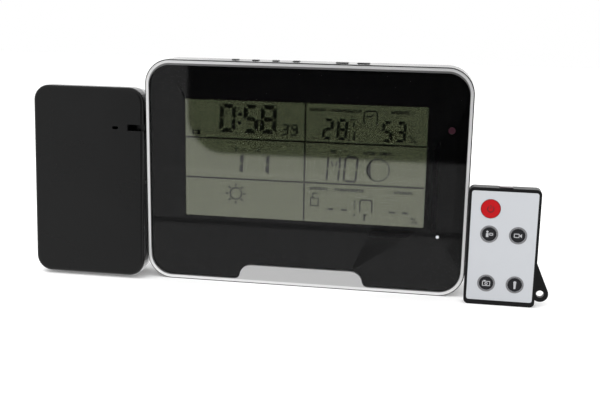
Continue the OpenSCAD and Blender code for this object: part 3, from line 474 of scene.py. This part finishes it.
def digit(char, x, z, w, h, t):
    """Seven-segment digit with its lower left corner at x, z, in millimetres."""
    gap, cut, mid = t * 0.1, t * 0.4, h / 2
    upper = [(0, mid + gap), (0, h - cut - gap), (t, h - t - gap), (t, mid + t / 2 + gap), (t / 2, mid + gap)]
    shapes = {
        "a": [(cut + gap, h), (w - cut - gap, h), (w - t - gap, h - t), (t + gap, h - t)],
        "f": upper,
        "g": [(t * 0.6 + gap, mid), (t + gap, mid + t / 2), (w - t - gap, mid + t / 2),
              (w - t * 0.6 - gap, mid), (w - t - gap, mid - t / 2), (t + gap, mid - t / 2)],
    }
    shapes["d"] = [(px, h - pz) for px, pz in shapes["a"]]
    shapes["b"] = [(w - px, pz) for px, pz in upper]
    shapes["e"] = [(px, h - pz) for px, pz in upper]
    shapes["c"] = [(w - px, h - pz) for px, pz in upper]
    return [[(x + px + pz * SLANT, z + pz) for px, pz in shapes[s]] for s in SEGMENTS[char]]


def caption(x, z, length, height=1.6):
    """A run of small open and closed blocks where a printed caption would be."""
    step, wide, line = 1.35, 1.15, 0.5
    shapes = []
    for i in range(max(1, round(length / step))):
        left, kind = x + i * step, (i * 5 + int(length)) % 4
        shapes.append(rectangle(left, z, line, height))
        if kind != 1:
            shapes.append(rectangle(left + line, z + height - line, wide - line, line))
        if kind != 2:
            shapes.append(rectangle(left + line, z, wide - line, line))
        if kind != 3:
            shapes.append(rectangle(left + wide - line, z + line, line, height - 2 * line))
    return shapes


def sun(x, z):
    shapes = ring(x, z, 2.6, 3.35)
    for turn in range(0, 360, 45):
        c, s = math.cos(math.radians(turn)), math.sin(math.radians(turn))
        shapes += band([(x + 3.9 * c, z + 3.9 * s), (x + 5.1 * c, z + 5.1 * s)], 0.9)
    return shapes


def moon(x, z):
    """Thin outline with a crescent inside its left edge."""
    radius, bite = 5.9, 2.0
    shapes = ring(x, z, radius - 0.6, radius)
    inner = radius - 0.2
    steps = 14
    for i in range(steps):
        a0, a1 = (115 + 130 * k / steps for k in (i, i + 1))
        edge = []
        for a in (a0, a1):
            c, s = math.cos(math.radians(a)), math.sin(math.radians(a))
            depth = bite * max(0.05, math.sin(math.radians((a - 115) / 130 * 180)))
            edge.append(((x + inner * c, z + inner * s), (x + (inner - depth) * c, z + (inner - depth) * s)))
        shapes.append([edge[0][0], edge[1][0], edge[1][1], edge[0][1]])
    return shapes


def house(x, z, w, h):
    """Outline of a house seen as an arch, for the indoor or outdoor reading."""
    return (band([(x, z), (x, z + h * 0.85), (x + w * 0.15, z + h)], 0.75)
            + band([(x + w * 0.15, z + h), (x + w * 0.85, z + h), (x + w, z + h * 0.85), (x + w, z)], 0.75))


def percent(x, z):
    return band([(x, z), (x + 2.0, z + 2.9)], 0.5) + ring(x + 0.1, z + 2.4, 0.25, 0.75, 12) \
        + ring(x + 2.1, z + 0.5, 0.25, 0.75, 12)


def display_shapes():
    """Everything the display shows, in millimetres from the lower left corner of the view."""
    shapes = []
    # clock
    for char, x, w in (("0", 17.6, 8.3), ("5", 29.8, 7.8), ("8", 38.6, 8.2)):
        shapes += digit(char, x, 43.9, w, 14.4, 2.15)
    for z in (48.9, 53.3):
        shapes += disc(28.2 + (z - 49.2) * SLANT, z, 1.05)
    for char, x in (("3", 49.6), ("9", 54.3)):
        shapes += digit(char, x, 43.5, 3.6, 5.9, 1.0)
    # battery sign
    shapes += band([(4.1, 42.6), (7.2, 42.6), (7.2, 44.2), (4.1, 44.2)], 0.75, closed=True)
    shapes.append(rectangle(6.3, 42.3, 1.5, 2.2))
    # indoor temperature and humidity
    shapes += caption(63.9, 56.3, 8.3) + caption(74.8, 56.2, 14.6) + caption(104.0, 56.3, 9.6)
    for char, x in (("2", 70.2), ("8", 77.3)):
        shapes += digit(char, x, 42.3, 5.4, 10.6, 1.5)
    shapes.append(rectangle(83.2, 42.3, 0.9, 0.7))
    shapes += band([(86.1, 42.4), (86.4, 46.6)], 0.9)
    shapes += ring(85.0, 52.6, 0.3, 0.75, 12) + band([(86.2, 52.9), (87.0, 52.2)], 0.5)
    shapes += band([(85.8, 49.0), (86.1, 51.2)], 0.8)
    shapes += house(90.9, 50.6, 6.5, 6.6) + band([(92.2, 54.3), (94.0, 54.6), (95.6, 55.7)], 0.7)
    for char, x in (("5", 99.6), ("3", 106.3)):
        shapes += digit(char, x, 42.3, 5.2, 10.4, 1.45)
    shapes += percent(113.9, 42.4)
    # date
    shapes += caption(25.9, 34.6, 1.4) + caption(37.6, 34.4, 2.0)
    for x in (23.2, 36.6):
        shapes += digit("1", x, 22.4, 6.8, 11.6, 1.9)
    # weekday: the strokes of a generic two-letter abbreviation
    shapes += caption(74.9, 35.6, 2.6) + caption(91.4, 35.6, 5.4) + caption(99.2, 35.6, 7.0)
    for x in (73.0, 78.9, 81.6, 87.6):
        shapes += band([(x, 22.2), (x + 0.25, 27.0)], 1.1) + band([(x + 0.4, 28.4), (x + 0.7, 33.4)], 1.1)
    shapes += band([(83.0, 33.9), (87.6, 33.9)], 1.1) + band([(82.6, 21.7), (87.0, 21.7)], 1.1)
    shapes += band([(75.2, 31.4), (76.0, 29.2)], 0.7) + band([(78.2, 31.4), (77.4, 29.2)], 0.7)
    shapes += moon(98.6, 28.1)
    # forecast
    shapes += sun(26.4, 12.5)
    # outdoor temperature and humidity
    shapes += caption(64.6, 16.5, 9.8) + caption(77.2, 16.4, 14.6) + caption(107.0, 16.4, 9.4)
    shapes += band([(65.2, 8.4), (65.2, 12.4), (69.0, 12.4), (69.0, 8.4)], 0.6, closed=True)
    shapes += band([(66.2, 12.6), (66.2, 14.8), (68.4, 14.8)], 0.6)
    for x in (73.9, 80.7, 104.7, 111.3):
        shapes.append(rectangle(x, 6.5, 3.1, 1.0))
    for z in (7.6, 9.4, 11.2):
        shapes += band([(87.4, z), (87.45, z + 1.0)], 0.7)
    shapes += house(90.2, 6.4, 6.0, 6.2)
    shapes += disc(87.6, 4.6, 0.6)
    shapes += band([(92.6, 2.0), (92.6, 5.0)], 0.9) + band([(91.9, 5.0), (93.5, 5.0)], 0.6)
    shapes += percent(116.3, 1.9)
    return shapes


def to_display(shapes):
    return [[(VIEW_X + u * MM, VIEW_Z + v * MM) for u, v in shape] for shape in shapes]


def make_display(materials):
    front = GLASS_LO.y
    prism_piece("lcd_segments", to_display(display_shapes()), front - FILM, FILM,
                materials["segment"], "console")
    width, height, line = VIEW_W / MM, VIEW_H / MM, 0.85
    lines = [rectangle(0.2, 40.3, width - 0.4, line), rectangle(0.2, 19.7, width - 0.4, line)]
    gaps = [(0.2, 19.6), (20.5, 40.2), (41.1, height - 0.2)]
    lines += [rectangle(61.3, low, line, high - low) for low, high in gaps]
    prism_piece("lcd_dividers", to_display(lines), front - FILM, FILM, materials["divider"],
                "console")


# ---------------------------------------------------------------- remote graphics

def key_centre(name):
    low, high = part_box(name)
    return (low.x + high.x) / 2, (low.z + high.z) / 2, low.y


def scaled(shapes, cx, cz, size=1.0):
    return [[(cx + x * MM * size, cz + z * MM * size) for x, z in shape] for shape in shapes]


def power_sign():
    return band(arc_points(0, -0.1, 1.5, -230, 50, 16), 0.42) + band([(0, 0.3), (0, 1.9)], 0.42)


def person_sign():
    return disc(-0.75, 1.0, 0.45, 12) + [rectangle(-1.25, -1.2, 1.0, 1.6)] \
        + band([(0.2, -0.35), (1.4, -0.35), (1.4, 0.45), (0.2, 0.45)], 0.3, True)


def video_sign():
    return band([(-1.5, -0.7), (0.4, -0.7), (0.4, 0.7), (-1.5, 0.7)], 0.3, True) \
        + [[(0.65, -0.2), (1.5, -0.8), (1.5, 0.8), (0.65, 0.2)]]


def camera_sign():
    body = [(-1.45, -1.0), (1.45, -1.0), (1.45, 0.8), (-1.45, 0.8)]
    return ring(0, -0.15, 0.3, 0.6, 16) + band(body, 0.3, True) + [rectangle(-1.1, 0.95, 0.8, 0.35)]


def microphone_sign():
    return disc(0, 0.95, 0.62, 14) + [[(-0.36, -1.7), (0.36, -1.7), (0.5, 0.5), (-0.5, 0.5)]]


def make_remote_prints(materials):
    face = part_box("remote_label")[0].y
    rings = []
    for i in range(1, 5):
        cx, cz, _ = key_centre(f"remote_key_{i}")
        rings += scaled(ring(0, 0, 3.5, 4.3), cx, cz)
    prism_piece("remote_key_rings", rings, face - FILM, FILM, materials["ring"], "remote")
    signs = {"remote_power_key": power_sign, "remote_key_1": person_sign, "remote_key_2": video_sign,
             "remote_key_3": camera_sign, "remote_key_4": microphone_sign}
    for name, sign in signs.items():
        cx, cz, top = key_centre(name)
        red = name == "remote_power_key"
        prism_piece(f"{name}_sign", scaled(sign(), cx, cz, 1.0 if red else 1.2), top - FILM, FILM,
                    materials["red_icon" if red else "icon"], name)


# ---------------------------------------------------------------- build

def main():
    SCENE.view_settings.view_transform = "Standard"
    make_camera()
    make_floor()
    make_world()
    make_lights()
    materials = make_materials()
    dress_nodes(materials)
    round_edges()
    make_display(materials)
    make_remote_prints(materials)


main()
